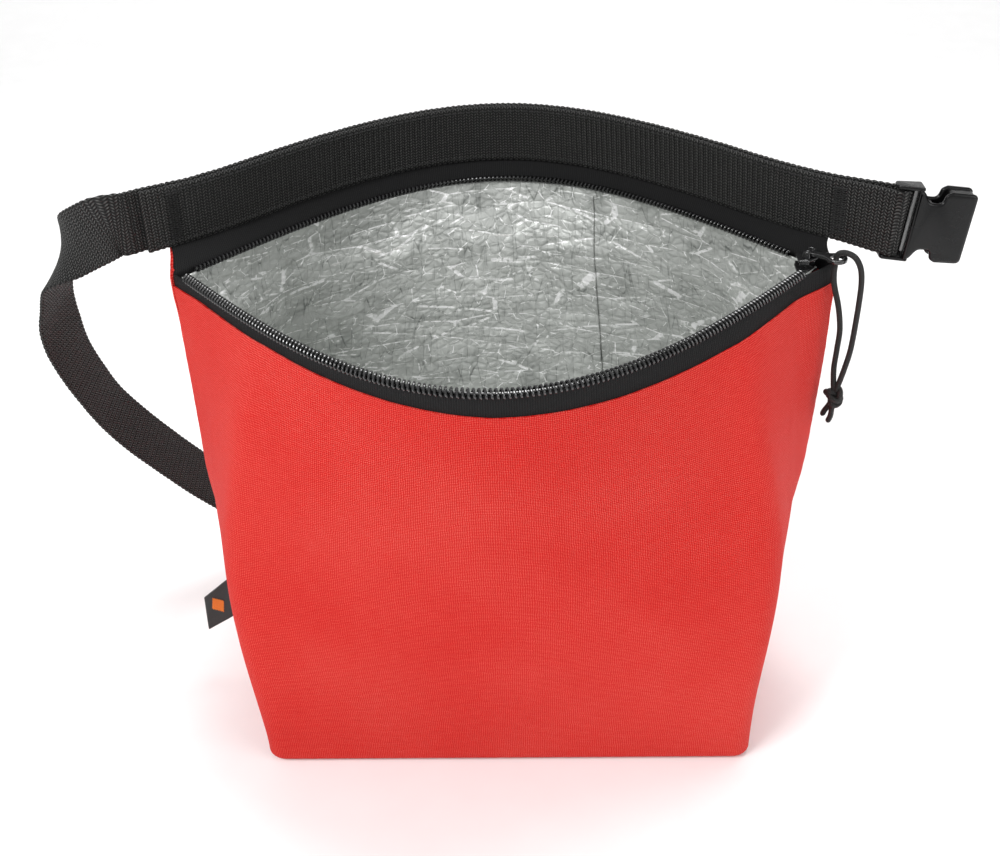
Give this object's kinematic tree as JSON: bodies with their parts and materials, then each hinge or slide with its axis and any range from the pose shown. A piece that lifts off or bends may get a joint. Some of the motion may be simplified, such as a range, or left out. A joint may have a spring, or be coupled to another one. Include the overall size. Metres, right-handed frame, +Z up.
{
  "type": "insulated cooler bag",
  "caption": "Small soft insulated cooler bag with a zipped lens-shaped mouth, foil liner, webbing band, strap and side-release buckle.",
  "frame": {"origin": "centre of the flat base, on the surface that the bag stands on", "axes": "+X along the mouth towards the buckle and slider, +Y towards the webbing band at the back, +Z up"},
  "size_m": [0.3611, 0.1912, 0.2377],
  "materials": {
    "outer_fabric": "woven polyester, matt",
    "foam": "closed-cell foam sheet",
    "foil_liner": "crinkled metallised film",
    "zip_tape": "woven tape",
    "zip_coil": "nylon coil",
    "webbing": "ribbed woven webbing",
    "thread": "polyester thread",
    "label_fabric": "woven label",
    "label_print": "embroidered thread",
    "slider_paint": "gloss black",
    "cord": "braided cord",
    "buckle_plastic": "satin moulded acetal"
  },
  "bodies": {
    "bag": {"bottom_shell": "outer_fabric", "front_shell": "outer_fabric", "back_shell": "outer_fabric", "bottom_foam": "foam", "front_foam": "foam", "back_foam": "foam", "bottom_liner": "foil_liner", "front_liner": "foil_liner", "back_liner": "foil_liner", "liner_seam_tape": "foil_liner", "front_zip_tape": "zip_tape", "back_zip_tape": "zip_tape", "front_coil": "zip_coil", "back_coil": "zip_coil", "band_webbing": "webbing", "bartacks": "thread", "side_label": "label_fabric", "label_mark": "label_print"},
    "slider": {"slider_body": "slider_paint"},
    "pull_tab": {"slider_tab": "slider_paint"},
    "pull_cord": {"pull_cord_a": "cord", "pull_cord_b": "cord", "pull_knot": "cord", "cord_tails": "cord"},
    "female_half": {"female_buckle": "buckle_plastic"},
    "strap": {"strap_webbing": "webbing"},
    "male_half": {"male_frame": "buckle_plastic"},
    "prong_left": {"male_prong_left": "buckle_plastic"},
    "prong_right": {"male_prong_right": "buckle_plastic"}
  },
  "joints": [
    {"name": "zip_slide", "type": "slide", "parent": "bag", "child": "slider", "axis": [-1, 0, 0], "range_m": [0, 0.222]},
    {"name": "tab_flip", "type": "hinge", "parent": "slider", "child": "pull_tab", "pos_m": [0.1168, 0, 0.20835], "axis": [0.5519, 0.8339, 0], "range_deg": [-45, 0]},
    {"name": "cord_swing", "type": "hinge", "parent": "pull_tab", "child": "pull_cord", "pos_m": [0.12597, -0.00607, 0.20835], "axis": [0.866, -0.5, 0], "range_deg": [-45, 45]},
    {"name": "buckle_swing", "type": "hinge", "parent": "bag", "child": "female_half", "pos_m": [0.145, -0.00653, 0.2235], "axis": [0.1045, 0, 0.9945], "range_deg": [-35, 35]},
    {"name": "strap_swing", "type": "hinge", "parent": "bag", "child": "strap", "pos_m": [-0.1374, 0.0027, 0.2235], "axis": [0, 0, 1], "range_deg": [0, 60]},
    {"name": "male_pivot", "type": "hinge", "parent": "strap", "child": "male_half", "pos_m": [-0.072, 0.084, 0.004], "axis": [0, 1, 0], "range_deg": [-60, 0]},
    {"name": "prong_left_flex", "type": "hinge", "parent": "male_half", "child": "prong_left", "pos_m": [-0.0575, 0.0905, 0.004], "axis": [0, 0, 1], "range_deg": [-9, 0], "stiffness_Nm_per_rad": 0.06},
    {"name": "prong_right_flex", "type": "hinge", "parent": "male_half", "child": "prong_right", "pos_m": [-0.0575, 0.0775, 0.004], "axis": [0, 0, 1], "range_deg": [0, 9], "stiffness_Nm_per_rad": 0.06}
  ],
  "couplings": [
    {"joint": "prong_right_flex", "follows": "prong_left_flex", "ratio": -1}
  ]
}
